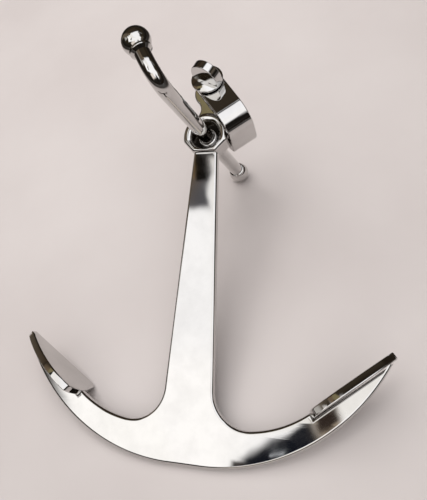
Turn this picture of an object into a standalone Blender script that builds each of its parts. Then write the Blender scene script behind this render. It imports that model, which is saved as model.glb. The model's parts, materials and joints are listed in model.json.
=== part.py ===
# Polished stainless anchor lying on the floor, ring end held up by its stock. Sizes in millimetres.
import math
import bmesh
import bpy
from mathutils import Matrix, Vector

mm = 0.001
plateThick = 13.6          # shank and arms
plateMid = 1.2             # the plate's middle stands a little above the boss's
edgeRound = 2.6            # rounding of the plate's edges
outerRadius = 308.0        # outer curve of the crown and arms
crownFlat = 24.6           # half of the short straight at the crown
crownLow = 1.6
fillet = 55.0              # between shank and arms
innerRadius = 179.4        # inner curve of each arm
innerCentre = (80.2, 239.9)
shankTop = (20.8, 499.8)   # half width, height up the shank
shankFoot = (39.8, 128.8)

palmRoot = (186.0, 98.0)   # where the palm's inner face meets the arm's inner curve
palmAngle = 38.8
palmLength = 146.0
palmThick = 12.0
palmRise = 41.0
palmDrop = 42.5
palmRound = 1.6

bossAt = 526.3
bossRadius = 39.5
bossHalf = 16.5
bossFlat = 20.4            # half of the flat side toward the shank
bossLow = 29.5             # stock hole to that flat side
bossRound = 6.0
dishRadius = 24.0
dishDepth = 9.0
stockRadius = 12.0
bossHole = stockRadius + 0.3

lugAt = 605.5
lugRadius = 27.0
lugHole = 13.6
lugHalf = 9.0
lugRound = 3.0
neckHalf = 13.8            # narrowest place between boss and lug
neckAt = 573.8

stockFoot = -181.2         # height of the lower ball's centre
elbowAt = 205.5            # height of the stock's upper arm
elbowRadius = 35.0
armReach = 72.0            # elbow corner to the upper ball's centre
armTurn = 30.3             # upper arm leans this far left of the ring end
lowBall = (18.4, 12.9, 20.0)    # ball radius, collar radius, collar's end from the ball's centre
highBall = (21.4, 15.0, 23.3)

strapWidth = 45.5
strapThick = 9.0           # at the bow
strapRound = 1.2
jawThick = 12.0            # beside the pin
jawHalf = 47.3             # pin centre line to the outside of a strap arm
bowReach = 99.6            # pin to the outside of the bow
bowDepth = 27.0
pinRadius = 9.0
collarRadius = 26.8
collarThick = 9.4
tabRadius = 25.0
tabShift = 1.6
tabThick = 15.4
tabStand = 6.8
tabTurn = -26.8            # tab's direction from the strap's length
shackleCentre = Vector((2.1, 601.8, -9.1))
pinAxis = Vector((0.101, 0.182, 0.978)).normalized()
bowAim = Vector((0.616, -0.783, 0.081))

restTilt = 20.32           # shank's slope when the lower ball and the palms touch the floor
gap = 0.3
sideOn = Matrix(((1, 0, 0, 0), (0, 0, 1, 0), (0, 1, 0, 0), (0, 0, 0, 1)))    # swaps Y and Z


def clearScene():
    for obj in list(bpy.data.objects):
        bpy.data.objects.remove(obj, do_unlink=True)


def makeCollection(name):
    coll = bpy.data.collections.new(name)
    bpy.context.scene.collection.children.link(coll)
    return coll


def steel(name, colour, rough):
    mat = bpy.data.materials.new(name)
    mat.use_nodes = True
    shader = mat.node_tree.nodes["Principled BSDF"]
    shader.inputs["Base Color"].default_value = (*colour, 1.0)
    shader.inputs["Metallic"].default_value = 1.0
    shader.inputs["Roughness"].default_value = rough
    return mat


def addMesh(name, data, coll):
    obj = bpy.data.objects.new(name, data)
    coll.objects.link(obj)
    return obj


def bake(obj):
    """mesh of the object with its modifiers applied"""
    graph = bpy.context.evaluated_depsgraph_get()
    mesh = bpy.data.meshes.new_from_object(obj.evaluated_get(graph))
    obj.modifiers.clear()
    obj.data = mesh
    work = bmesh.new()
    work.from_mesh(mesh)
    bmesh.ops.remove_doubles(work, verts=work.verts, dist=0.00002)
    bmesh.ops.dissolve_degenerate(work, dist=0.00001, edges=work.edges)
    bmesh.ops.recalc_face_normals(work, faces=work.faces)
    work.to_mesh(mesh)
    work.free()
    return obj


def carry(obj, frame):
    """move the mesh by the frame and keep its faces outward"""
    obj.data.transform(frame)
    if frame.determinant() < 0:
        obj.data.flip_normals()
    return obj


def meshFromCurve(name, path, coll):
    """plain mesh of the curve, flat faces joined again"""
    source = addMesh(name + "_path", path, coll)
    graph = bpy.context.evaluated_depsgraph_get()
    mesh = bpy.data.meshes.new_from_object(source.evaluated_get(graph))
    bpy.data.objects.remove(source, do_unlink=True)
    obj = bake(addMesh(name, mesh, coll))
    work = bmesh.new()
    work.from_mesh(obj.data)
    bmesh.ops.dissolve_limit(work, angle_limit=math.radians(0.05), verts=work.verts, edges=work.edges)
    work.to_mesh(obj.data)
    work.free()
    return obj


def outlinePlate(name, points, half, coll, frame=None):
    """flat plate with the given outline, standing half its thickness each side of its plane"""
    path = bpy.data.curves.new(name, "CURVE")
    path.dimensions = "2D"
    path.fill_mode = "BOTH"
    path.extrude = half * mm
    spline = path.splines.new("POLY")
    spline.points.add(len(points) - 1)
    for point, (x, y) in zip(spline.points, points):
        point.co = (x * mm, y * mm, 0, 1)
    spline.use_cyclic_u = True
    obj = meshFromCurve(name, path, coll)
    return obj if frame is None else carry(obj, frame)


def roundEdges(obj, width, segments=3, angle=35.0):
    bevel = obj.modifiers.new("edge", "BEVEL")
    bevel.width = width * mm
    bevel.segments = segments
    bevel.limit_method = "ANGLE"
    bevel.angle_limit = math.radians(angle)
    bevel.use_clamp_overlap = True
    return bake(obj)


def turned(name, profile, coll, steps=64, frame=None):
    """body turned about its own Z, profile points are (radius, height) down the outer side"""
    work = bmesh.new()
    verts = [work.verts.new((r * mm, 0, z * mm)) for r, z in profile]
    for a, b in zip(verts, verts[1:]):
        work.edges.new((a, b))
    mesh = bpy.data.meshes.new(name)
    work.to_mesh(mesh)
    work.free()
    obj = addMesh(name, mesh, coll)
    spin = obj.modifiers.new("turn", "SCREW")
    spin.axis = "Z"
    spin.angle = math.tau
    spin.steps = steps
    spin.render_steps = steps
    spin.use_merge_vertices = True
    spin.merge_threshold = 0.00001
    bake(obj)
    return obj if frame is None else carry(obj, frame)


def combine(obj, other, kind):
    mod = obj.modifiers.new("join", "BOOLEAN")
    mod.object = other
    mod.operation = kind
    mod.solver = "EXACT"
    bake(obj)
    bpy.data.objects.remove(other, do_unlink=True)
    return obj


def arc(centre, radius, start, end, count):
    steps = [start + (end - start) * i / count for i in range(count + 1)]
    return [(centre[0] + radius * math.cos(a), centre[1] + radius * math.sin(a)) for a in steps]


def palmAxes(side):
    turn = math.radians(palmAngle)
    along = Vector((side * math.cos(turn), math.sin(turn), 0))
    inward = Vector((-side * math.sin(turn), math.cos(turn), 0))
    return along, inward


def halfOutline():
    """right half of the plate from the crown's middle, round the arm and up to the boss"""
    outerCentre = (crownFlat, crownLow + outerRadius)
    points = [(0.0, crownLow)] + arc(outerCentre, outerRadius, -math.pi / 2, -0.42, 48)
    along, inward = palmAxes(1)
    back = Vector((palmRoot[0], palmRoot[1], 0)) - inward * (palmThick + gap)
    inside = [p for p in points if p[0] < back.x or (Vector((*p, 0)) - back).dot(inward) < -0.6]
    root = back - along * gap
    seat = Vector((palmRoot[0], palmRoot[1], 0)) - along * gap
    foot, top = Vector(shankFoot), Vector(shankTop)
    up = (top - foot).normalized()
    out = Vector((up.y, -up.x))
    centre = Vector(innerCentre)
    first = foot + out * fillet
    lead = first - centre
    drop = lead.dot(up)
    reach = -drop - math.sqrt(drop * drop - lead.length_squared + (innerRadius - fillet) ** 2)
    corner = first + up * reach
    ray = (corner - centre).normalized()
    endAngle = math.atan2(ray.y, ray.x)
    seatAngle = math.atan2(seat.y - centre.y, seat.x - centre.x)
    inner = arc(centre, innerRadius, seatAngle, endAngle, 18)
    wall = math.atan2(-out.y, -out.x)
    turnIn = arc(corner, fillet, endAngle % math.tau, wall % math.tau, 16)
    bend = [(root.x, root.y)] + inner + turnIn[1:]
    return inside + bend + [(top.x, top.y), (top.x - 1.0, bossAt)]


def mirrored(half):
    left = [(-x, y) for x, y in reversed(half) if abs(x) > 0.001]
    return half + left


def bossBlock(coll):
    """thick eye for the stock: round above, flat toward the shank, with a bevelled corner each side"""
    low = bossAt - bossLow
    start = math.radians(-16.0)
    outline = arc((0, bossAt), bossRadius, start, math.pi - start, 44)
    outline += [(-bossFlat, low), (bossFlat, low)]
    block = outlinePlate("boss", outline, bossHalf, coll)
    return roundEdges(block, bossRound, 4, 60)


def shankAndArms(coll):
    lift = Matrix.Translation((0, 0, plateMid * mm))
    body = outlinePlate("anchor_body", mirrored(halfOutline()), plateThick / 2, coll, lift)
    roundEdges(body, edgeRound)
    waist = [(16, -28), (6, -13), (1.6, -6), (0, 0), (1.0, 6)]
    neck = [(neckHalf + x, neckAt + y) for x, y in waist]
    left = [(-x, y) for x, y in reversed(neck)]
    neck += arc((0, lugAt), lugRadius, -0.87, math.pi + 0.87, 40) + left
    lug = outlinePlate("lug", neck, lugHalf, coll)
    roundEdges(lug, lugRound)
    combine(body, lug, "UNION")
    combine(body, bossBlock(coll), "UNION")
    centre = Matrix.Translation((0, bossAt * mm, 0))
    bowl = [(0, bossHalf + 5), (dishRadius, bossHalf + 5), (dishRadius, bossHalf)]
    bowl += [(bossHole + (dishRadius - bossHole) * math.cos(a), bossHalf - dishDepth * math.sin(a))
             for a in (0.3, 0.6, 0.9, 1.2, 1.5)]
    floor = bossHalf - dishDepth
    bowl += [(bossHole, floor), (0, floor)]
    for turn in (Matrix.Identity(4), Matrix.Rotation(math.pi, 4, "X")):
        combine(body, turned("bowl", bowl, coll, 72, centre @ turn), "DIFFERENCE")
    hole = turned("hole", [(0, 60), (bossHole, 60), (bossHole, -60), (0, -60)], coll, 72, centre)
    combine(body, hole, "DIFFERENCE")
    eye = turned("eye", [(0, 30), (lugHole, 30), (lugHole, -30), (0, -30)], coll, 56,
                 Matrix.Translation((0, lugAt * mm, 0)))
    return combine(body, eye, "DIFFERENCE")


def palm(name, side, coll):
    """kite-shaped plate standing across the arm, upper edge bowed, lower edge straight"""
    upper = []
    a, b, c = Vector((23, palmRise)), Vector((68, palmRise + 9)), Vector((palmLength, 5))
    for i in range(11):
        t = i / 10
        p = a * (1 - t) ** 2 + b * 2 * t * (1 - t) + c * t * t
        upper.append((p.x, p.y))
    lower = [(palmLength, -5), (13, -palmDrop), (5, -palmDrop + 7), (0, -8)]
    outline = [(0, 5), (11, palmRise - 17)] + upper + lower
    along, inward = palmAxes(side)
    seat = Vector((side * palmRoot[0], palmRoot[1], 0)) - inward * palmThick / 2
    frame = Matrix.Identity(4)
    for row in range(3):
        frame[row][0] = along[row]
        frame[row][1] = (0, 0, 1)[row]
        frame[row][2] = inward[row]
        frame[row][3] = seat[row] * mm
    plate = outlinePlate(name, outline, palmThick / 2, coll, frame)
    return roundEdges(plate, palmRound)


def knob(name, sizes, coll, frame):
    """ball on a short collar, the ball's pole at +Z"""
    ball, collar, end = sizes
    cut = math.pi - math.asin(collar / ball)
    profile = [(ball * math.sin(cut * i / 16), ball * math.cos(cut * i / 16)) for i in range(17)]
    profile += [(collar, -end + 0.8), (collar - 0.8, -end), (0, -end)]
    return turned(name, profile, coll, 48, frame)


def stock(coll):
    """bar through the boss, bent square at the top, a ball on each end"""
    path = bpy.data.curves.new("rod", "CURVE")
    path.dimensions = "3D"
    path.bevel_depth = stockRadius * mm
    path.bevel_resolution = 6
    path.use_fill_caps = True
    aim = Vector((-math.sin(math.radians(armTurn)), math.cos(math.radians(armTurn)), 0))
    corner = Vector((0, bossAt, elbowAt))
    up = Vector((0, 0, 1))
    centre = corner + (aim - up) * elbowRadius
    foot, head = Vector((0, bossAt, stockFoot)), corner + aim * armReach
    line = [foot]
    for i in range(15):
        a = math.pi / 2 * i / 14
        line.append(centre - aim * elbowRadius * math.cos(a) + up * elbowRadius * math.sin(a))
    line.append(head)
    spline = path.splines.new("POLY")
    spline.points.add(len(line) - 1)
    for point, place in zip(spline.points, line):
        point.co = (*(place * mm), 1.0)
    rod = meshFromCurve("stock", path, coll)
    for place, axis, sizes in ((foot, -up, lowBall), (head, aim, highBall)):
        turn = up.rotation_difference(axis).to_matrix().to_4x4()
        combine(rod, knob("knob", sizes, coll, Matrix.Translation(place * mm) @ turn), "UNION")
    return rod


def strapFrame():
    """columns: bow direction, pin axis, strap width"""
    bow = (bowAim - pinAxis * bowAim.dot(pinAxis)).normalized()
    wide = pinAxis.cross(bow)
    frame = Matrix.Identity(4)
    for row in range(3):
        frame[row][0] = bow[row]
        frame[row][1] = pinAxis[row]
        frame[row][2] = wide[row]
        frame[row][3] = shackleCentre[row] * mm
    return frame


def shackle(coll):
    back = -strapWidth / 2 - 2
    start = bowReach - bowDepth

    def loop(high, deep):
        turns = [math.pi / 2 - math.pi * i / 24 for i in range(25)]
        bow = [(start + deep * math.cos(a), high * math.sin(a)) for a in turns]
        return [(back, high)] + bow + [(back, -high)]
    outline = loop(jawHalf, bowDepth) + loop(jawHalf - jawThick, bowDepth - strapThick)[::-1]
    frame = strapFrame()
    strap = outlinePlate("shackle", outline, strapWidth / 2, coll, frame)
    ends = arc((0, 0), strapWidth / 2, math.pi / 2, 3 * math.pi / 2, 24)
    ends = ends + [(bowReach + 5, -strapWidth / 2), (bowReach + 5, strapWidth / 2)]
    trim = outlinePlate("trim", [(x, y * 1.0001) for x, y in ends], jawHalf + 5, coll, frame @ sideOn)
    combine(strap, trim, "INTERSECT")
    roundEdges(strap, strapRound, 2, 40)
    reach = jawHalf + 20
    bore = pinRadius + gap
    drill = turned("drill", [(0, reach), (bore, reach), (bore, -reach), (0, -reach)], coll, 48,
                   frame @ Matrix.Rotation(-math.pi / 2, 4, "X"))
    return combine(strap, drill, "DIFFERENCE")


def shacklePin(coll):
    frame = strapFrame() @ Matrix.Rotation(-math.pi / 2, 4, "X")
    base = jawHalf + gap
    top = base + collarThick
    tip = -jawHalf - 1.5
    profile = [(0, top), (collarRadius - 3, top), (collarRadius - 0.9, top - 0.9), (collarRadius, top - 3)]
    profile += [(collarRadius, base + 1.2), (collarRadius - 1.2, base), (pinRadius, base)]
    profile += [(pinRadius, tip + 1.5), (pinRadius - 1.5, tip), (0, tip)]
    pin = turned("shackle_pin", profile, coll, 64, frame)
    dome = [(tabShift - tabRadius, -3), (tabShift + tabRadius, -3)]
    dome += arc((tabShift, tabStand), tabRadius, 0, math.pi, 30)
    turn = Matrix.Translation((0, 0, top * mm)) @ Matrix.Rotation(math.radians(tabTurn), 4, "Z")
    tab = outlinePlate("tab", dome, tabThick / 2, coll, frame @ turn @ sideOn)
    roundEdges(tab, 1.5)
    return combine(pin, tab, "UNION")


def layDown(objs):
    """lie the anchor on the floor: turn about X, then centre it over the origin"""
    turn = Matrix.Rotation(math.radians(restTilt), 4, "X")
    for obj in objs:
        obj.data.transform(turn)
    points = [v.co for obj in objs for v in obj.data.vertices]
    low = Vector([min(p[i] for p in points) for i in range(3)])
    high = Vector([max(p[i] for p in points) for i in range(3)])
    shift = Matrix.Translation((-(low.x + high.x) / 2, -(low.y + high.y) / 2, -low.z))
    for obj in objs:
        obj.data.transform(shift)
    return shift @ turn


def setOrigin(obj, place):
    obj.data.transform(Matrix.Translation(-place))
    obj.location = place


clearScene()
anchor = makeCollection("stainless_anchor")
makeCollection("cutters")
pieces = [
    (shankAndArms(anchor), (0.80, 0.80, 0.79), 0.07),
    (palm("palm_right", 1, anchor), (0.78, 0.78, 0.77), 0.09),
    (palm("palm_left", -1, anchor), (0.78, 0.78, 0.77), 0.10),
    (stock(anchor), (0.79, 0.79, 0.78), 0.06),
    (shackle(anchor), (0.77, 0.77, 0.76), 0.06),
    (shacklePin(anchor), (0.79, 0.78, 0.77), 0.08),
]
for obj, colour, rough in pieces:
    obj.data.materials.clear()
    obj.data.materials.append(steel(obj.name + "_steel", colour, rough))
    for face in obj.data.polygons:
        face.material_index = 0
place = layDown([obj for obj, colour, rough in pieces])
pivot = place @ (shackleCentre * mm)
for obj, colour, rough in pieces:
    if obj.name in ("shackle", "shackle_pin"):
        setOrigin(obj, pivot)
    work = bmesh.new()
    work.from_mesh(obj.data)
    for face in work.faces:
        face.smooth = True
    for edge in work.edges:
        if len(edge.link_faces) == 2 and edge.calc_face_angle() > math.radians(38):
            edge.smooth = False
    work.to_mesh(obj.data)
    work.free()
axisWorld = place.to_3x3() @ pinAxis
print("pivot", [round(v, 5) for v in pivot], "axis", [round(v, 5) for v in axisWorld])
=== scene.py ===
import json
import math

import bmesh
import bpy
from mathutils import Matrix, Vector


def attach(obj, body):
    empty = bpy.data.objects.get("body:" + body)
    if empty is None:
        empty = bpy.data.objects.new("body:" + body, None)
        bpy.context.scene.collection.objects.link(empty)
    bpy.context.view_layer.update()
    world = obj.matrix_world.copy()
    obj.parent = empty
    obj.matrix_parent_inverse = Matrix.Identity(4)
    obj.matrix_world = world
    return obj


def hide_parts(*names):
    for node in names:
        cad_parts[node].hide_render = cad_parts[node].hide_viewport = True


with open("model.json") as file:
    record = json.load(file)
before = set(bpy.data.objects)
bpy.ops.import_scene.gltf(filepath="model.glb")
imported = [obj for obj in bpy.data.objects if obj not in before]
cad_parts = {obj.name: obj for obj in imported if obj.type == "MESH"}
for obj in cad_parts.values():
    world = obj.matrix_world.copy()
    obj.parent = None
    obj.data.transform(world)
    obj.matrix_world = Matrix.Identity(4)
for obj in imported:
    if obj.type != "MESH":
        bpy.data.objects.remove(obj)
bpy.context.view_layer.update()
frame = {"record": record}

# pieces are made in mm on the flat anchor: X across, Y from the crown to the eye, Z up from the boss's middle
mm = 0.001
restTilt = math.radians(20.32)  # shank's slope once it rests on palms and lower ball
sideOn = Matrix(((1, 0, 0, 0), (0, 0, 1, 0), (0, 1, 0, 0), (0, 0, 0, 1)))  # swaps Y and Z


def toLinear(code):
    parts = [int(code[i:i + 2], 16) / 255 for i in (1, 3, 5)]
    return [c / 12.92 if c <= 0.04045 else ((c + 0.055) / 1.055) ** 2.4 for c in parts] + [1.0]


def addNode(tree, kind, settings=None, links=None):
    # links: socket name or number -> value, or another node's output
    node = tree.nodes.new(kind)
    for key, value in (settings or {}).items():
        setattr(node, key, value)
    for key, value in (links or {}).items():
        if isinstance(value, bpy.types.NodeSocket):
            tree.links.new(value, node.inputs[key])
        else:
            node.inputs[key].default_value = value
    return node


def setStops(ramp, stops):
    # stops: (position, sRGB hex) from left to right
    elements = ramp.color_ramp.elements
    while len(elements) < len(stops):
        elements.new(0.5)
    for element, (spot, code) in zip(elements, stops):
        element.position, element.color = spot, toLinear(code)


polish = {
    "tone": "#cccac8", "shade": "#c5c3c1",  # 316 stainless, a little warmer than chrome plate
    "rough": 0.03, "smear": 0.055,  # buffed to a mirror, with hand smears
    "smearSize": 38.0, "waveSize": 60.0, "waveDepth": 0.12,  # mm
    "hairSize": 1.6, "hairDepth": 0.0008,  # mm, coarser than real hairlines so that they show
}


def polishedStainless(name, look, lay=(1.0, 1.0, 1.0)):
    # buffed 316: a mirror whose images bend softly where the wheel pressed,
    # with faint smears and with hairlines along the lay
    steel = bpy.data.materials.new(name)
    steel.use_nodes = True
    tree = steel.node_tree
    shader = tree.nodes["Principled BSDF"]
    shader.inputs["Metallic"].default_value = 1.0
    place = addNode(tree, "ShaderNodeTexCoord").outputs["Object"]
    smear = addNode(tree, "ShaderNodeTexNoise", None,
                    {"Vector": place, "Scale": 1 / (look["smearSize"] * mm),
                     "Detail": 3.0, "Roughness": 0.55})
    tint = addNode(tree, "ShaderNodeValToRGB", None, {"Fac": smear.outputs["Fac"]})
    setStops(tint, ((0.32, look["shade"]), (0.60, look["tone"])))
    tree.links.new(tint.outputs["Color"], shader.inputs["Base Color"])
    rough = addNode(tree, "ShaderNodeMapRange", {"interpolation_type": "SMOOTHSTEP"},
                    {"Value": smear.outputs["Fac"], "From Min": 0.35, "From Max": 0.75,
                     "To Min": look["rough"], "To Max": look["smear"]})
    tree.links.new(rough.outputs["Result"], shader.inputs["Roughness"])
    wave = addNode(tree, "ShaderNodeTexNoise", None,
                   {"Vector": place, "Scale": 1 / (look["waveSize"] * mm), "Detail": 1.0, "Roughness": 0.4})
    along = addNode(tree, "ShaderNodeMapping", None, {"Vector": place, "Scale": lay})
    hair = addNode(tree, "ShaderNodeTexNoise", None,
                   {"Vector": along.outputs["Vector"], "Scale": 1 / (look["hairSize"] * mm), "Detail": 2.0})
    bumpWave = addNode(tree, "ShaderNodeBump", None,
                       {"Height": wave.outputs["Fac"], "Strength": 1.0, "Distance": look["waveDepth"] * mm})
    bumpHair = addNode(tree, "ShaderNodeBump", None,
                       {"Height": hair.outputs["Fac"], "Strength": 1.0, "Distance": look["hairDepth"] * mm,
                        "Normal": bumpWave.outputs["Normal"]})
    tree.links.new(bumpHair.outputs["Normal"], shader.inputs["Normal"])
    return steel


# flat plate is polished along the shank, bar stock along its length, and a bent strap keeps deeper waves
plateSteel = polishedStainless("polished_316_plate", polish, (1.0, 0.12, 1.0))
palmSteel = polishedStainless("polished_316_palm", polish | {
    "rough": 0.035, "smear": 0.06, "waveDepth": 0.14})
barSteel = polishedStainless("polished_316_bar", polish | {
    "waveSize": 45.0, "waveDepth": 0.05}, (1.0, 1.0, 0.15))
strapSteel = polishedStainless("polished_316_strap", polish | {
    "waveSize": 34.0, "waveDepth": 0.28})
recessShadeSteel = polishedStainless("painted_shade_316_recess", polish | {
    "tone": "#524e4b", "shade": "#47433f",  # painted shade: colour darkened to stand for the shade of the deep recess; rougher, as the wheel can't reach it
    "rough": 0.10, "smear": 0.17})
pinSteel = polishedStainless("polished_316_pin", polish | {
    "waveSize": 30.0, "waveDepth": 0.05})
print("finishes made")


def arc(centre, radius, start, end, count):
    # count + 1 points along an arc, angles in radians
    steps = [start + (end - start) * i / count for i in range(count + 1)]
    return [(centre[0] + radius * math.cos(a), centre[1] + radius * math.sin(a)) for a in steps]


def evaluated(obj):
    graph = bpy.context.evaluated_depsgraph_get()
    return bpy.data.meshes.new_from_object(obj.evaluated_get(graph))


def plainMesh(obj):
    # the shape that the modifiers give becomes the object's own mesh
    mesh = evaluated(obj)
    obj.modifiers.clear()
    obj.data = mesh
    return obj


def addObject(name, data):
    obj = bpy.data.objects.new(name, data)
    bpy.context.scene.collection.objects.link(obj)
    return obj


def closeWork(work, mesh):
    # writes the bmesh into the mesh with its faces outward
    bmesh.ops.recalc_face_normals(work, faces=work.faces)
    work.to_mesh(mesh)
    work.free()
    return mesh


def slab(name, outlines, half, rounding, segments=5):
    # flat plate from closed outlines, the first outside and the others holes, with rounded edges
    path = bpy.data.curves.new(name, "CURVE")
    path.dimensions = "2D"
    path.fill_mode = "BOTH"
    path.extrude = half - rounding
    path.bevel_depth = rounding
    path.bevel_resolution = segments
    path.offset = -rounding
    for number, outline in enumerate(outlines):
        area = sum(a[0] * b[1] - b[0] * a[1] for a, b in zip(outline, outline[1:] + outline[:1]))
        if (area > 0) != (number == 0):
            outline = outline[::-1]
        spline = path.splines.new("POLY")
        spline.points.add(len(outline) - 1)
        for point, (x, y) in zip(spline.points, outline):
            point.co = (x, y, 0, 1)
        spline.use_cyclic_u = True
    obj = addObject(name + "_path", path)
    mesh = evaluated(obj)
    bpy.data.objects.remove(obj, do_unlink=True)
    work = bmesh.new()
    work.from_mesh(mesh)
    bmesh.ops.remove_doubles(work, verts=work.verts, dist=0.002)
    return addObject(name, closeWork(work, mesh))


def lathe(name, profile, steps):
    # body turned about Z from (radius, height) points that start and end on the axis
    work = bmesh.new()
    rings = []
    for radius, height in profile:
        if radius < 1e-6:
            rings.append([work.verts.new((0, 0, height))])
        else:
            turns = [math.tau * i / steps for i in range(steps)]
            rings.append([work.verts.new((radius * math.cos(a), radius * math.sin(a), height))
                          for a in turns])
    for low, high in zip(rings, rings[1:]):
        for i in range(steps):
            corners = [low[i % len(low)], low[(i + 1) % len(low)],
                       high[(i + 1) % len(high)], high[i % len(high)]]
            unique = list(dict.fromkeys(corners))
            if len(unique) > 2:
                work.faces.new(unique)
    return addObject(name, closeWork(work, bpy.data.meshes.new(name)))


def rounded(points, radius, count=5):
    # the (radius, height) line with each marked corner, (r, z, True), turned into an arc
    line = []
    for i, point in enumerate(points):
        if len(point) < 3:
            line.append(point)
            continue
        here = Vector(point[:2])
        before, after = Vector(points[i - 1][:2]), Vector(points[i + 1][:2])
        into, out = (before - here).normalized(), (after - here).normalized()
        start, end = here + into * radius, here + out * radius
        for k in range(count + 1):
            t = k / count
            spot = start * (1 - t) ** 2 + here * 2 * t * (1 - t) + end * t ** 2
            line.append((spot.x, spot.y))
    return line


def carve(obj, other, kind):
    cut = obj.modifiers.new("carve", "BOOLEAN")
    cut.object = other
    cut.operation = kind
    cut.solver = "EXACT"
    plainMesh(obj)
    bpy.data.objects.remove(other, do_unlink=True)
    return obj


shackleCentre = Vector((2.1, 601.8, -9.1))  # on the pin's axis, midway between the jaws
pivot = Vector(frame["record"]["behaviour"]["joints"][0]["pos_m"])
tilt = Matrix.Rotation(restTilt, 4, "X")
laid = Matrix.Translation(pivot - tilt @ (shackleCentre * mm)) @ tilt @ Matrix.Scale(mm, 4)


def placeOn(along, across, out, at):
    # place whose X, Y and Z run along three directions from a point
    place = Matrix((along, across, out)).transposed().to_4x4()
    place.translation = at
    return place


def finishPiece(obj, body, steel, place=None, sharp=50.0):
    # lays the mesh down on the floor with the rest, shades it and lets it ride on its body
    mesh = obj.data
    mesh.transform(laid @ place if place else laid)
    work = bmesh.new()
    work.from_mesh(mesh)
    bmesh.ops.remove_doubles(work, verts=work.verts, dist=0.002 * mm)
    bmesh.ops.recalc_face_normals(work, faces=work.faces)
    for face in work.faces:
        face.smooth = True
    for edge in work.edges:
        edge.smooth = len(edge.link_faces) != 2 or edge.calc_face_angle() < math.radians(sharp)
    work.to_mesh(mesh)
    work.free()
    even = obj.modifiers.new("even", "WEIGHTED_NORMAL")
    even.keep_sharp = True
    even.weight = 60
    plainMesh(obj)
    obj.data.materials.clear()
    obj.data.materials.append(steel)
    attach(obj, body)
    return obj


plate = {
    "thick": 13.6, "middle": 1.2, "round": 4.6,  # plate's thickness, the height of its middle, its edges
    "outer": 308.0, "crownHalf": 24.6, "crownLow": 1.6,  # arm's outer arc and the flat under the crown
    "fillet": 55.0, "inner": 179.4, "innerAt": (80.2, 239.9),  # arm's inner arc, and its bend into the shank
    "top": (20.8, 499.8), "foot": (39.8, 128.8),  # two points on the shank's tapering side
    "palmRoot": (186.0, 98.0), "palmTurn": 38.8, "palmThick": 12.0,  # where each palm crosses its arm
}


def palmAxes(side):
    # directions along the palm to its bill and out of its face toward the shank
    turn = math.radians(plate["palmTurn"])
    return (Vector((side * math.cos(turn), math.sin(turn), 0)),
            Vector((-side * math.sin(turn), math.cos(turn), 0)))


def plateOutline(end):
    # right half from the crown's middle round the arm to the end inside the boss, then mirrored
    armPast = -0.42  # outer arc's angle beyond the palm, where the palm's back then cuts it off
    short = 0.4  # last point of the arc that is kept lies this far short of the palm's back
    outerCentre = (plate["crownHalf"], plate["crownLow"] + plate["outer"])
    points = [(0.0, plate["crownLow"])] + arc(outerCentre, plate["outer"], -math.pi / 2, armPast, 120)
    inward = palmAxes(1)[1]
    root = Vector((*plate["palmRoot"], 0))
    back = root - inward * plate["palmThick"]
    outside = [p for p in points if p[0] < back.x or (Vector((*p, 0)) - back).dot(inward) < -short]
    foot, top, centre = Vector(plate["foot"]), Vector(plate["top"]), Vector(plate["innerAt"])
    up = (top - foot).normalized()
    out = Vector((up.y, -up.x))
    # the fillet's centre lies one fillet off the shank's side, and its circle touches the inner arc
    first = foot + out * plate["fillet"]
    lead = first - centre
    drop = lead.dot(up)
    reach = -drop - math.sqrt(drop * drop - lead.length_squared + (plate["inner"] - plate["fillet"]) ** 2)
    corner = first + up * reach
    ray = (corner - centre).normalized()
    endAngle = math.atan2(ray.y, ray.x)
    seatAngle = math.atan2(root.y - centre.y, root.x - centre.x)
    inner = arc(centre, plate["inner"], seatAngle, endAngle, 48)
    wall = math.atan2(-out.y, -out.x)
    turnIn = arc(corner, plate["fillet"], endAngle % math.tau, wall % math.tau, 40)
    half = outside + [(back.x, back.y)] + inner + turnIn[1:] + [(top.x, top.y), (top.x - 0.1, end)]
    return half + [(-x, y) for x, y in reversed(half) if x > 0]


boss = {
    "at": 526.3, "radius": 39.5, "half": 16.5, "round": 7.0,  # place on the shank, size, outer rounding
    "flat": 20.4, "low": 29.5, "shoulder": -16.0, "ease": 2.4,  # flat toward the shank, angles in degrees
    "crest": 0.52, "lipTurn": 72.0, "lipDrop": 0.7,  # highest line of the rim, and its roll into the recess
    "dish": 24.0, "depth": 14.5, "slope": 45.0, "cove": 1.2,  # recess round the bar
    "hole": 12.25, "bead": 2.4,  # bar's hole and the weld bead round it
}

shankEnd = boss["at"] - boss["dish"] + 1.0  # the plate ends unseen inside the boss's ring
shank = slab("shankArms", [plateOutline(shankEnd)], plate["thick"] / 2, plate["round"], 7)
shank = finishPiece(shank, "anchor", plateSteel, Matrix.Translation((0, 0, plate["middle"])))
print("shank and arms made")


def bossReach(angle):
    # distance from the stock's centre to the boss's outline: round above, with a flat
    # toward the shank and a straight shoulder each side of it, the corners eased
    start = math.radians(boss["shoulder"])
    low = Vector((boss["flat"], -boss["low"]))
    high = Vector((boss["radius"] * math.cos(start), boss["radius"] * math.sin(start)))
    normal = Vector((high.y - low.y, low.x - high.x)).normalized()

    def edge(a):
        across, up = abs(math.cos(a)), math.sin(a)
        if up >= 0:
            return boss["radius"]
        reach = min(boss["radius"], boss["low"] / -up)
        lean = across * normal.x + up * normal.y
        return min(reach, normal.dot(high) / lean) if lean > 0 else reach
    span = math.radians(boss["ease"])
    return sum(edge(angle + span * k / 4) for k in range(-4, 5)) / 9


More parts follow.
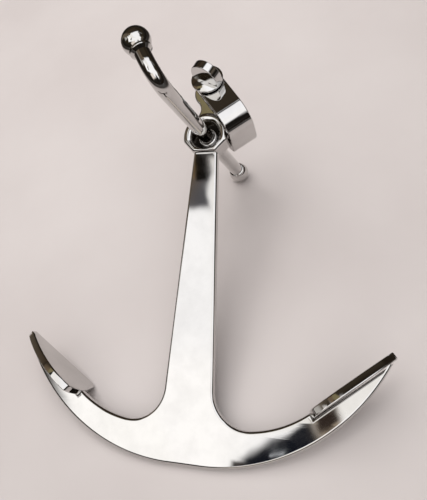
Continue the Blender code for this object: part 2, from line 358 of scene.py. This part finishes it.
def bossBlock():
    # one section through rim, recess and bore at each angle, the sections skinned into a ring
    count, arcSteps = 220, 10
    work = bmesh.new()
    loops = []
    for i in range(count):
        angle = math.tau * i / count - math.pi / 2
        outer = bossReach(angle)
        crest = boss["dish"] + (outer - boss["dish"]) * boss["crest"]
        rim, lip = outer - crest, crest - boss["dish"]
        upper = [(outer, 0.0)]
        for k in range(arcSteps + 1):
            a = math.pi / 2 * k / arcSteps
            upper.append((outer - rim * (1 - math.cos(a)), boss["half"] - boss["round"] * (1 - math.sin(a))))
        for k in range(1, arcSteps + 1):
            a = math.radians(boss["lipTurn"]) * k / arcSteps
            fall = lip * boss["lipDrop"] * (1 - math.cos(a))
            upper.append((crest - lip * math.sin(a), boss["half"] - fall))
        wall, deep = upper[-1][0] - 0.6, boss["half"] - boss["depth"]
        bead = boss["hole"] + boss["bead"]
        high = deep + (wall - bead) * math.tan(math.radians(boss["slope"]))
        beadTop = (boss["hole"] + 0.6, deep + boss["bead"] * 0.55)
        upper += rounded([upper[-1], (wall, high, True), (bead, deep, True), beadTop, (boss["hole"], deep)],
                         boss["cove"], 4)[1:]
        ring = upper + [(r, -z) for r, z in reversed(upper)][:-1]
        loops.append([work.verts.new((r * math.cos(angle), r * math.sin(angle), z)) for r, z in ring])
    size = len(loops[0])
    for i in range(count):
        a, b = loops[i], loops[(i + 1) % count]
        for k in range(size):
            work.faces.new((a[k], b[k], b[(k + 1) % size], a[(k + 1) % size]))
    return addObject("boss", closeWork(work, bpy.data.meshes.new("boss")))


bossPiece = finishPiece(bossBlock(), "anchor", plateSteel, Matrix.Translation((0, boss["at"], 0)), 60)
bossPiece.data.materials.append(recessShadeSteel)
unlaid = laid.inverted()
for face in bossPiece.data.polygons:
    spot = unlaid @ face.center
    reach = math.hypot(spot.x, spot.y - boss["at"])
    if boss["hole"] + boss["bead"] < reach < boss["dish"] + 0.3:
        face.material_index = 1  # recess between the rim and the weld bead takes the painted shade material
print("boss made")


eye = {
    "at": 605.5, "radius": 27.0, "hole": 13.6, "half": 9.0, "round": 3.0,
    "neck": 13.8, "neckAt": 573.8, "ringStart": -0.87,  # half the waist, its place, ring's first angle
}


def eyeOutline():
    # the neck flares from its waist down into the boss and up into the ring
    flare = [(13, -21.5), (9.5, -18), (6, -13), (3.4, -9.2), (1.6, -6), (0.4, -2.8),
             (0, 0), (0.2, 3), (1.0, 6)]
    right = [(eye["neck"] + x, eye["neckAt"] + y) for x, y in flare]
    left = [(-x, y) for x, y in reversed(right)]
    return right + arc((0, eye["at"]), eye["radius"], eye["ringStart"], math.pi - eye["ringStart"], 96) + left


eyeHole = arc((0, eye["at"]), eye["hole"], 0, math.tau, 72)[:-1]
eyePiece = slab("shackleEye", [eyeOutline(), eyeHole], eye["half"], eye["round"])
finishPiece(eyePiece, "anchor", plateSteel)
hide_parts("anchor_body")
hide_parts("anchor_body")
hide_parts("anchor_body")
print("eye made")


fluke = {
    "length": 145.4, "tip": 5.0,  # heel to bill, and half the flat at the bill
    "rise": 41.0, "drop": 42.25,  # corners above and below the arm
    "bow": (63.0, 14.0),  # pull on the upper edge: from the heel, and above the rise
    "round": 2.2, "lean": 16.5, "leanFrom": 7.0,  # ground slope of the upper edge in degrees, and its start
}


def palmOutline():
    # kite: upper edge bowed, lower edge straight, heel cut back toward the arm
    shoulder, bill = Vector((11, fluke["rise"] - 4)), Vector((fluke["length"], fluke["tip"]))
    pull = Vector((fluke["bow"][0], fluke["rise"] + fluke["bow"][1]))
    steps = [i / 40 for i in range(41)]
    upper = [shoulder * (1 - t) ** 2 + pull * 2 * t * (1 - t) + bill * t * t for t in steps]
    heel = [(0, -8), (0, 9), (5.5, fluke["rise"] - 13)]
    lower = [(fluke["length"], -fluke["tip"]), (13, -fluke["drop"]), (5, 7 - fluke["drop"])]
    return heel[1:] + [tuple(p) for p in upper] + lower + heel[:1]


for side, name in ((1, "palm_right"), (-1, "palm_left")):
    along, inward = palmAxes(side)
    seat = Vector((side * plate["palmRoot"][0], plate["palmRoot"][1], 0)) - inward * plate["palmThick"] / 2
    palm = slab(name + "_polished", [palmOutline()], plate["palmThick"] / 2, fluke["round"])
    for point in palm.data.vertices:
        if point.co.y > fluke["leanFrom"]:  # upper edge is ground to lean toward the shank
            point.co.y -= point.co.z * math.tan(math.radians(fluke["lean"]))
    finishPiece(palm, "anchor", palmSteel, placeOn(along, (0, 0, 1), inward, seat))
    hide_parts(name)
print("palms made")


bar = {
    "radius": 12.0, "foot": -181.2,  # middle of the lower ball, below the boss's middle
    "elbowAt": 205.5, "elbow": 35.0, "reach": 72.0, "turn": 30.3,  # bend at the upper end
    "lowBall": (18.4, 14.4, 20.0), "highBall": (21.4, 16.8, 23.3),  # ball, collar, collar's end
    "groove": 0.7, "grooveWide": 0.9, "edge": 0.8,  # turned line between ball and collar
}


def sweepTree(name, steel):
    # sweeps a round bar along the edges, each bend rounded, sizes in mm
    tree = bpy.data.node_groups.new(name, "GeometryNodeTree")
    sockets = {}
    for label, kind, way in (("Line", "NodeSocketGeometry", "INPUT"), ("Radius", "NodeSocketFloat", "INPUT"),
                             ("Bend", "NodeSocketFloat", "INPUT"), ("Sides", "NodeSocketInt", "INPUT"),
                             ("Bar", "NodeSocketGeometry", "OUTPUT")):
        sockets[label] = tree.interface.new_socket(label, in_out=way, socket_type=kind).identifier
    given = addNode(tree, "NodeGroupInput")
    line = addNode(tree, "GeometryNodeMeshToCurve", None, {"Mesh": given.outputs["Line"]})
    bent = addNode(tree, "GeometryNodeFilletCurve", {"mode": "POLY"},
                   {"Curve": line.outputs["Curve"], "Radius": given.outputs["Bend"], "Count": 40})
    section = addNode(tree, "GeometryNodeCurvePrimitiveCircle", None,
                      {"Resolution": given.outputs["Sides"], "Radius": given.outputs["Radius"]})
    swept = addNode(tree, "GeometryNodeCurveToMesh", None,
                    {"Curve": bent.outputs["Curve"], "Profile Curve": section.outputs["Curve"],
                     "Fill Caps": True})
    plain = addNode(tree, "GeometryNodeRealizeInstances", None, {"Geometry": swept.outputs["Mesh"]})
    clad = addNode(tree, "GeometryNodeSetMaterial", None,
                   {"Geometry": plain.outputs["Geometry"], "Material": steel})
    addNode(tree, "NodeGroupOutput", None, {"Bar": clad.outputs["Geometry"]})
    return tree, sockets


def knob(name, sizes):
    # ball turned with the collar it stands on, a fine groove between them and a cone down to the bar
    ball, collar, end = sizes
    neck = collar - bar["groove"]
    cut = math.pi - math.asin(neck / ball)
    profile = [(0.0, ball)]
    profile += [(ball * math.sin(cut * i / 48), ball * math.cos(cut * i / 48)) for i in range(1, 49)]
    waist = profile[-1][1]
    cone = collar - bar["radius"] - end
    profile += rounded([(neck, waist), (collar, waist - bar["grooveWide"], True), (collar, cone, True),
                        (bar["radius"] - 0.5, -end)], bar["edge"], 4)[1:]
    return lathe(name, profile + [(0.0, -end)], 96)


aim = Vector((-math.sin(math.radians(bar["turn"])), math.cos(math.radians(bar["turn"])), 0))
barFoot, barElbow = Vector((0, boss["at"], bar["foot"])), Vector((0, boss["at"], bar["elbowAt"]))
barHead = barElbow + aim * bar["reach"]
lineMesh = bpy.data.meshes.new("stockBar")
lineMesh.from_pydata([barFoot, barElbow, barHead], [(0, 1), (1, 2)], [])
rod = addObject("stockBar", lineMesh)
sweep = rod.modifiers.new("sweep", "NODES")
sweep.node_group, sockets = sweepTree("bar_sweep", barSteel)
for label, value in (("Radius", bar["radius"]), ("Bend", bar["elbow"]), ("Sides", 96)):
    sweep[sockets[label]] = value
plainMesh(rod)
finishPiece(rod, "anchor", barSteel)
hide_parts("stock")
up = Vector((0, 0, 1))
ends = (("lowerBall", barFoot, -up, bar["lowBall"]), ("upperBall", barHead, aim, bar["highBall"]))
for name, at, axis, sizes in ends:
    place = Matrix.Translation(at) @ up.rotation_difference(axis).to_matrix().to_4x4()
    ball = finishPiece(knob(name, sizes), "anchor", barSteel, place, 40)
    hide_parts("stock")
print("stock made")


bow = {
    "wide": 45.5, "thick": 9.0, "jaw": 12.0, "round": 1.8,  # strap's width, and thickness at bow and jaws
    "half": 47.3, "reach": 99.6, "bend": 36.0,  # jaws' outer faces from the middle, bow's far side, its bends
    "pin": 9.0, "bore": 9.3,  # radius of the pin and of its holes
    "aim": (0.616, -0.783, 0.081), "axis": (0.101, 0.182, 0.978),  # the way the bow lies, and the pin's axis
}
pinAxis = Vector(bow["axis"]).normalized()
bowAim = Vector(bow["aim"])
bowAim = (bowAim - pinAxis * bowAim.dot(pinAxis)).normalized()
strapPlace = placeOn(bowAim, pinAxis, pinAxis.cross(bowAim), shackleCentre)


def strap():
    # bow seen from the side as a slab, cut by the strap's own face seen from the front, edges rolled
    back = -bow["wide"] / 2 - 2  # behind the jaws' round ends
    start = bow["reach"] - bow["bend"]

    def loop(high, end):
        # side view of the bow's outer or inner face
        radius = end - start
        upper = arc((start, high - radius), radius, math.pi / 2, 0, 40)
        return [(back, high)] + upper + [(x, -y) for x, y in reversed(upper)] + [(back, -high)]
    outline = loop(bow["half"], bow["reach"])
    outline += loop(bow["half"] - bow["jaw"], bow["reach"] - bow["thick"])[::-1]
    body = slab("shackleStrap", [outline], bow["wide"] / 2, 0.01, 1)
    past, hair = 5, 0.005  # the cutter reaches past the bow and misses the slab's own faces by a hair
    face = arc((0, 0), bow["wide"] / 2, math.pi / 2, 3 * math.pi / 2, 64)
    face += [(bow["reach"] + past, -bow["wide"] / 2 - hair), (bow["reach"] + past, bow["wide"] / 2 + hair)]
    trim = slab("trim", [face], bow["half"] + past, 0.01, 1)
    trim.data.transform(sideOn)
    trim.data.flip_normals()
    carve(body, trim, "INTERSECT")
    work = bmesh.new()
    work.from_mesh(body.data)
    # slivers that the cut leaves go first, so that the bevel runs evenly
    bmesh.ops.remove_doubles(work, verts=work.verts, dist=0.05)
    bmesh.ops.dissolve_limit(work, angle_limit=math.radians(0.1), verts=work.verts, edges=work.edges)
    rims = [e for e in work.edges if len(e.link_faces) == 2 and e.calc_face_angle() > math.radians(40)]
    bmesh.ops.bevel(work, geom=rims, offset=bow["round"], offset_type="OFFSET", segments=5, profile=0.5,
                    affect="EDGES", clamp_overlap=False)
    work.to_mesh(body.data)
    work.free()
    long = 70.0  # well past both jaws
    drill = lathe("drill", [(0, long), (bow["bore"], long), (bow["bore"], -long), (0, -long)], 64)
    drill.data.transform(Matrix.Rotation(-math.pi / 2, 4, "X"))
    return carve(body, drill, "DIFFERENCE")


strapPiece = finishPiece(strap(), "shackle", strapSteel, strapPlace, 40)
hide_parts("shackle")
print("shackle made")


screw = {
    "collar": 26.8, "thick": 9.4, "dome": 3.8,  # head's radius, its height and that of its dome
    "neck": 17.5, "lift": 2.6, "gap": 0.3,  # neck under the head, and the gap to the strap
    "tab": 25.0, "stand": 6.8, "tabThick": 15.4, "sunk": 3.0,  # half-round tab that the pin is turned by
    "shift": 1.6, "turn": -26.8,  # tab's place off the middle, and its turn in degrees
    "edge": 1.3, "chamfer": 1.5,
}


def pinOutline(base, top):
    # domed head, neck and plain pin down to a chamfered tip past the far jaw
    domeRadius = (screw["collar"] ** 2 + screw["dome"] ** 2) / (2 * screw["dome"])
    across = [screw["collar"] * i / 24 for i in range(24)]
    domeLine = [(r, top - domeRadius + math.sqrt(domeRadius ** 2 - r ** 2)) for r in across]
    under, tip = base + screw["lift"], -bow["half"] - 1.5
    head = rounded([domeLine[-1], (screw["collar"], top - screw["dome"], True),
                    (screw["collar"], under, True), (screw["neck"], under + 0.3, True),
                    (screw["neck"], base), (bow["pin"], base)], screw["edge"], 7)
    end = [(bow["pin"], tip + screw["chamfer"]), (bow["pin"] - screw["chamfer"], tip), (0, tip)]
    return domeLine[:-1] + head + end


def tabOutline():
    foot = [(screw["shift"] - screw["tab"], -screw["sunk"]), (screw["shift"] + screw["tab"], -screw["sunk"])]
    return foot + arc((screw["shift"], screw["stand"]), screw["tab"], 0, math.pi, 96)


pinPlace = strapPlace @ Matrix.Rotation(-math.pi / 2, 4, "X")
headBase = bow["half"] + screw["gap"]
headTop = headBase + screw["thick"]
pinLine = pinOutline(headBase, headTop)
pinPiece = finishPiece(lathe("pinHead", pinLine, 144), "pin", pinSteel, pinPlace)
tab = slab("pinTab", [tabOutline()], screw["tabThick"] / 2, screw["edge"])
tabTurn = Matrix.Rotation(math.radians(screw["turn"]), 4, "Z")
tabPlace = Matrix.Translation((0, 0, headTop)) @ tabTurn @ sideOn
finishPiece(tab, "pin", pinSteel, pinPlace @ tabPlace)
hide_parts("shackle_pin")
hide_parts("shackle_pin")
print("pin made")


ground = {
    "half": 15.0, "near": 0.8, "far": 1.3,  # metres: the floor, and where its reflection is painted dark as shade
    "tone": "#cec6c3", "shade": "#c4bbb8", "dark": "#2c2520",  # honed stone, pale and dull, and the painted shade its reflection falls to
    "rough": 0.55, "cloudSize": 454.55,  # mm
}


def honedStone(look):
    # soft clouds and no shine; in mirrors it falls away to painted shade, the dark of a room with few lamps
    paint = bpy.data.materials.new("honed_stone_floor")
    paint.use_nodes = True
    tree = paint.node_tree
    shader = tree.nodes["Principled BSDF"]
    shader.inputs["Roughness"].default_value = look["rough"]
    place = addNode(tree, "ShaderNodeTexCoord").outputs["Object"]
    cloud = addNode(tree, "ShaderNodeTexNoise", None,
                    {"Vector": place, "Scale": 1 / (look["cloudSize"] * mm), "Detail": 5.0})
    stone = addNode(tree, "ShaderNodeValToRGB", None, {"Fac": cloud.outputs["Fac"]})
    setStops(stone, ((0.3, look["shade"]), (0.7, look["tone"])))
    away = addNode(tree, "ShaderNodeVectorMath", {"operation": "LENGTH"}, {0: place})
    fade = addNode(tree, "ShaderNodeMapRange", {"interpolation_type": "SMOOTHSTEP"},
                   {"Value": away.outputs["Value"], "From Min": look["near"], "From Max": look["far"]})
    # painted shade: seen in the metal, the floor beyond near fades to the dark colour
    glossy = addNode(tree, "ShaderNodeLightPath").outputs["Is Glossy Ray"]
    mirrorShade = addNode(tree, "ShaderNodeMath", {"operation": "MULTIPLY"},
                     {0: fade.outputs["Result"], 1: glossy})
    mixed = addNode(tree, "ShaderNodeMix", {"data_type": "RGBA"},
                    {"Factor": mirrorShade.outputs["Value"], 6: stone.outputs["Color"], 7: toLinear(look["dark"])})
    tree.links.new(mixed.outputs[2], shader.inputs["Base Color"])
    return paint


wide = ground["half"]
floorMesh = bpy.data.meshes.new("floor")
corners = [(-wide, -wide, 0), (wide, -wide, 0), (wide, wide, 0), (-wide, wide, 0)]
floorMesh.from_pydata(corners, [], [(0, 1, 2, 3)])
floorMesh.materials.append(honedStone(ground))
floor = addObject("floor", floorMesh)
print("floor made")


studio = {
    # walls from straight overhead, 0, down to the level of the floor, 1
    "walls": ((0.0, "#1b1608"), (0.45, "#241c18"), (0.70, "#3a3226"), (0.86, "#262422"), (0.97, "#241e18")),
    "backdrop": "#e4e1dd", "light": 1.20,  # behind the anchor, and a pane's brightness where it gives none
    "ripple": 0.42, "wander": 0.9,  # panes' edges wander by about this many degrees
}

# each pane of the studio's sky: centre and half size in degrees from straight up, east (+X) then north (+Y)
panes = [
    # skylights
    {"at": (15.5, -24.5), "half": (44, 26), "turn": -11, "soft": 6.8, "colour": "#fefeff", "light": 1.55},
    {"at": (0, -7.6), "half": (19, 17.5), "turn": 2, "soft": 1.3, "colour": "#fffdfa", "light": 1.38},
    {"at": (17, 5), "half": (14.3, 18), "turn": -52, "soft": 8.4, "colour": "#fbfcff", "light": 1.57},
    {"at": (-25.6, -28.7), "half": (7, 7), "turn": -6, "soft": 5.9, "colour": "#fffefd", "light": 1.66},
    {"at": (-32, -19.4), "half": (3, 15.4), "turn": 24, "soft": 1.5, "colour": "#fffefc", "light": 1.66},
    # dark lintels and beams
    {"at": (-8, 26.5), "half": (26.4, 6), "turn": 40, "soft": 3.3, "colour": "#3a332a"},
    {"at": (-27, 32), "half": (27.5, 6), "turn": 34, "soft": 4.6, "colour": "#40352a"},
    {"at": (-22.4, -1.2), "half": (2.2, 2.8), "turn": -3, "soft": 0.6, "colour": "#5d5c60"},
    {"at": (-27.7, 5.6), "half": (6.7, 2.7), "turn": -28, "soft": 3.9, "colour": "#7a6854"},
    # side window, and small boards beside the skylights
    {"at": (-53, -2), "half": (5, 13), "turn": 6, "soft": 9.0, "colour": "#d6d3ce", "light": 0.95},
    {"at": (-20, 7.2), "half": (4, 1.8), "turn": 0, "soft": 1.5, "colour": "#8a8060"},
    {"at": (-21.3, 2.9), "half": (2.8, 1.7), "turn": 0, "soft": 0.6, "colour": "#080707", "light": 1.0},
    {"at": (-21.9, 0.2), "half": (0.5, 1.1), "turn": -8, "soft": 0.5, "colour": "#8a7250"},
    {"at": (-20.7, 0.2), "half": (0.35, 1.5), "turn": 0, "soft": 0.5, "colour": "#0a0806"},
    # blinds under the skylights, with a slit of light between them
    {"at": (-13.2, -35), "half": (3.6, 5), "turn": 2, "soft": 0.6, "colour": "#3a3431"},
    {"at": (-11.7, -30.0), "half": (3.3, 2.4), "turn": 31, "soft": 1.0, "colour": "#171a21"},
    {"at": (-12.9, -29.0), "half": (0.7, 0.05), "turn": 12, "soft": 0.15, "colour": "#e8ecf2"},
    {"at": (-8.5, -25.3), "half": (0.9, 2.5), "turn": 26, "soft": 1.1, "colour": "#a79885"},
    {"at": (-8.2, -25.6), "half": (0.9, 0.9), "turn": 25, "soft": 0.7, "colour": "#352b25"},
    # panels low on the walls
    {"at": (38, 28), "half": (12.7, 4.3), "turn": 11, "soft": 1.2, "colour": "#777675"},
    {"at": (0.7, -59.4), "half": (14.4, 5.6), "turn": 20, "soft": 8.2, "colour": "#fef4ea"},
    {"at": (-59, 18), "half": (5.3, 25), "turn": 49, "soft": 11.7, "colour": "#6a5f52"},
    {"at": (47, -55), "half": (14, 9.4), "turn": 68, "soft": 9.2, "colour": "#1c1917"},
    {"at": (66.7, -3.4), "half": (4.8, 15.5), "turn": 1, "soft": 5.2, "colour": "#5d544b"},
]


def paneGroup():
    # mask of one soft rectangle on the plan of the sky
    tree = bpy.data.node_groups.new("softPane", "ShaderNodeTree")
    for label, kind in (("Plan", "NodeSocketVector"), ("Centre", "NodeSocketVector"),
                        ("Half", "NodeSocketVector"), ("Turn", "NodeSocketFloat"),
                        ("Soft", "NodeSocketFloat")):
        tree.interface.new_socket(label, in_out="INPUT", socket_type=kind)
    tree.interface.new_socket("Mask", in_out="OUTPUT", socket_type="NodeSocketFloat")
    given = addNode(tree, "NodeGroupInput").outputs
    away = addNode(tree, "ShaderNodeVectorMath", {"operation": "SUBTRACT"},
                   {0: given["Plan"], 1: given["Centre"]})
    back = addNode(tree, "ShaderNodeMath", {"operation": "MULTIPLY"}, {0: given["Turn"], 1: -1.0})
    spun = addNode(tree, "ShaderNodeVectorRotate", {"rotation_type": "Z_AXIS"},
                   {"Vector": away.outputs["Vector"], "Angle": back.outputs["Value"]})
    size = addNode(tree, "ShaderNodeVectorMath", {"operation": "ABSOLUTE"}, {0: spun.outputs["Vector"]})
    past = addNode(tree, "ShaderNodeVectorMath", {"operation": "SUBTRACT"},
                   {0: size.outputs["Vector"], 1: given["Half"]})
    parts = addNode(tree, "ShaderNodeSeparateXYZ", None, {"Vector": past.outputs["Vector"]})
    rim = addNode(tree, "ShaderNodeMath", {"operation": "MAXIMUM"},
                  {0: parts.outputs["X"], 1: parts.outputs["Y"]})
    mask = addNode(tree, "ShaderNodeMapRange", {"interpolation_type": "SMOOTHSTEP"},
                   {"Value": rim.outputs["Value"], "From Min": 0.0, "From Max": given["Soft"],
                    "To Min": 1.0, "To Max": 0.0})
    addNode(tree, "NodeGroupOutput", None, {"Mask": mask.outputs["Result"]})
    return tree


world = bpy.data.worlds.new("studio")
bpy.context.scene.world = world
world.use_nodes = True
sky = world.node_tree
# plan of the sky: distance from straight up in degrees, laid out along the compass direction
aimed = addNode(sky, "ShaderNodeTexCoord").outputs["Generated"]
axes = addNode(sky, "ShaderNodeSeparateXYZ", None, {"Vector": aimed})
fromTop = addNode(sky, "ShaderNodeMath", {"operation": "ARCCOSINE"}, {0: axes.outputs["Z"]})
degrees = addNode(sky, "ShaderNodeMath", {"operation": "MULTIPLY"},
                  {0: fromTop.outputs["Value"], 1: 180 / math.pi})
level = addNode(sky, "ShaderNodeCombineXYZ", None, {"X": axes.outputs["X"], "Y": axes.outputs["Y"]})
heading = addNode(sky, "ShaderNodeVectorMath", {"operation": "NORMALIZE"}, {0: level.outputs["Vector"]})
flat = addNode(sky, "ShaderNodeVectorMath", {"operation": "SCALE"},
               {0: heading.outputs["Vector"], "Scale": degrees.outputs["Value"]})
ripple = addNode(sky, "ShaderNodeTexNoise", None,
                 {"Vector": flat.outputs["Vector"], "Scale": studio["ripple"], "Detail": 1.0})
shift = addNode(sky, "ShaderNodeVectorMath", {"operation": "SUBTRACT"},
                {0: ripple.outputs["Color"], 1: (0.5, 0.5, 0.5)})
spread = addNode(sky, "ShaderNodeVectorMath", {"operation": "SCALE"},
                 {0: shift.outputs["Vector"], "Scale": studio["wander"]})
plan = addNode(sky, "ShaderNodeVectorMath", {"operation": "ADD"},
               {0: flat.outputs["Vector"], 1: spread.outputs["Vector"]})
fall = addNode(sky, "ShaderNodeMapRange", None, {"Value": degrees.outputs["Value"], "From Max": 90.0})
walls = addNode(sky, "ShaderNodeValToRGB", None, {"Fac": fall.outputs["Result"]})
setStops(walls, studio["walls"])
paneTree = paneGroup()
colour = walls.outputs["Color"]
for pane in panes:  # each lies over the ones before it
    mask = addNode(sky, "ShaderNodeGroup", {"node_tree": paneTree},
                   {"Plan": plan.outputs["Vector"], "Centre": (*pane["at"], 0), "Half": (*pane["half"], 0),
                    "Turn": math.radians(pane["turn"]), "Soft": pane["soft"]})
    lit = [c * pane.get("light", studio["light"]) for c in toLinear(pane["colour"])[:3]] + [1.0]
    over = addNode(sky, "ShaderNodeMix", {"data_type": "RGBA"},
                   {"Factor": mask.outputs["Mask"], 6: colour, 7: lit})
    colour = over.outputs[2]
glow = sky.nodes["Background"]
sky.links.new(colour, glow.inputs["Color"])
backdrop = addNode(sky, "ShaderNodeBackground", None, {"Color": toLinear(studio["backdrop"])})
seen = addNode(sky, "ShaderNodeMixShader", None,
               {0: addNode(sky, "ShaderNodeLightPath").outputs["Is Camera Ray"],
                1: glow.outputs["Background"], 2: backdrop.outputs["Background"]})
sky.links.new(seen.outputs["Shader"], sky.nodes["World Output"].inputs["Surface"])
print("studio made")


northLamp = {"size": 2.2, "power": 46.0, "at": (-0.6, 0.9, 2.3)}  # metres and watts
lampData = bpy.data.lights.new("northLamp", "AREA")
lampData.shape, lampData.size, lampData.energy = "SQUARE", northLamp["size"], northLamp["power"]
lamp = addObject("northLamp", lampData)
lamp.location = northLamp["at"]
lamp.rotation_euler = (-lamp.location).to_track_quat("-Z", "Y").to_euler()
lamp.visible_glossy = False  # the metal shows the panes only

view = {"lens": 40.65, "at": (0.32874, -0.43148, 0.85099), "turn": (33.015, 16.631, 10.621)}
lens = bpy.data.cameras.new("camera")
lens.lens = view["lens"]
lens.clip_start = 0.01
camera = addObject("camera", lens)
camera.location = view["at"]
camera.rotation_euler = [math.radians(angle) for angle in view["turn"]]
bpy.context.scene.camera = camera
bpy.context.scene.view_settings.view_transform = "Standard"
print("lamp and camera set")
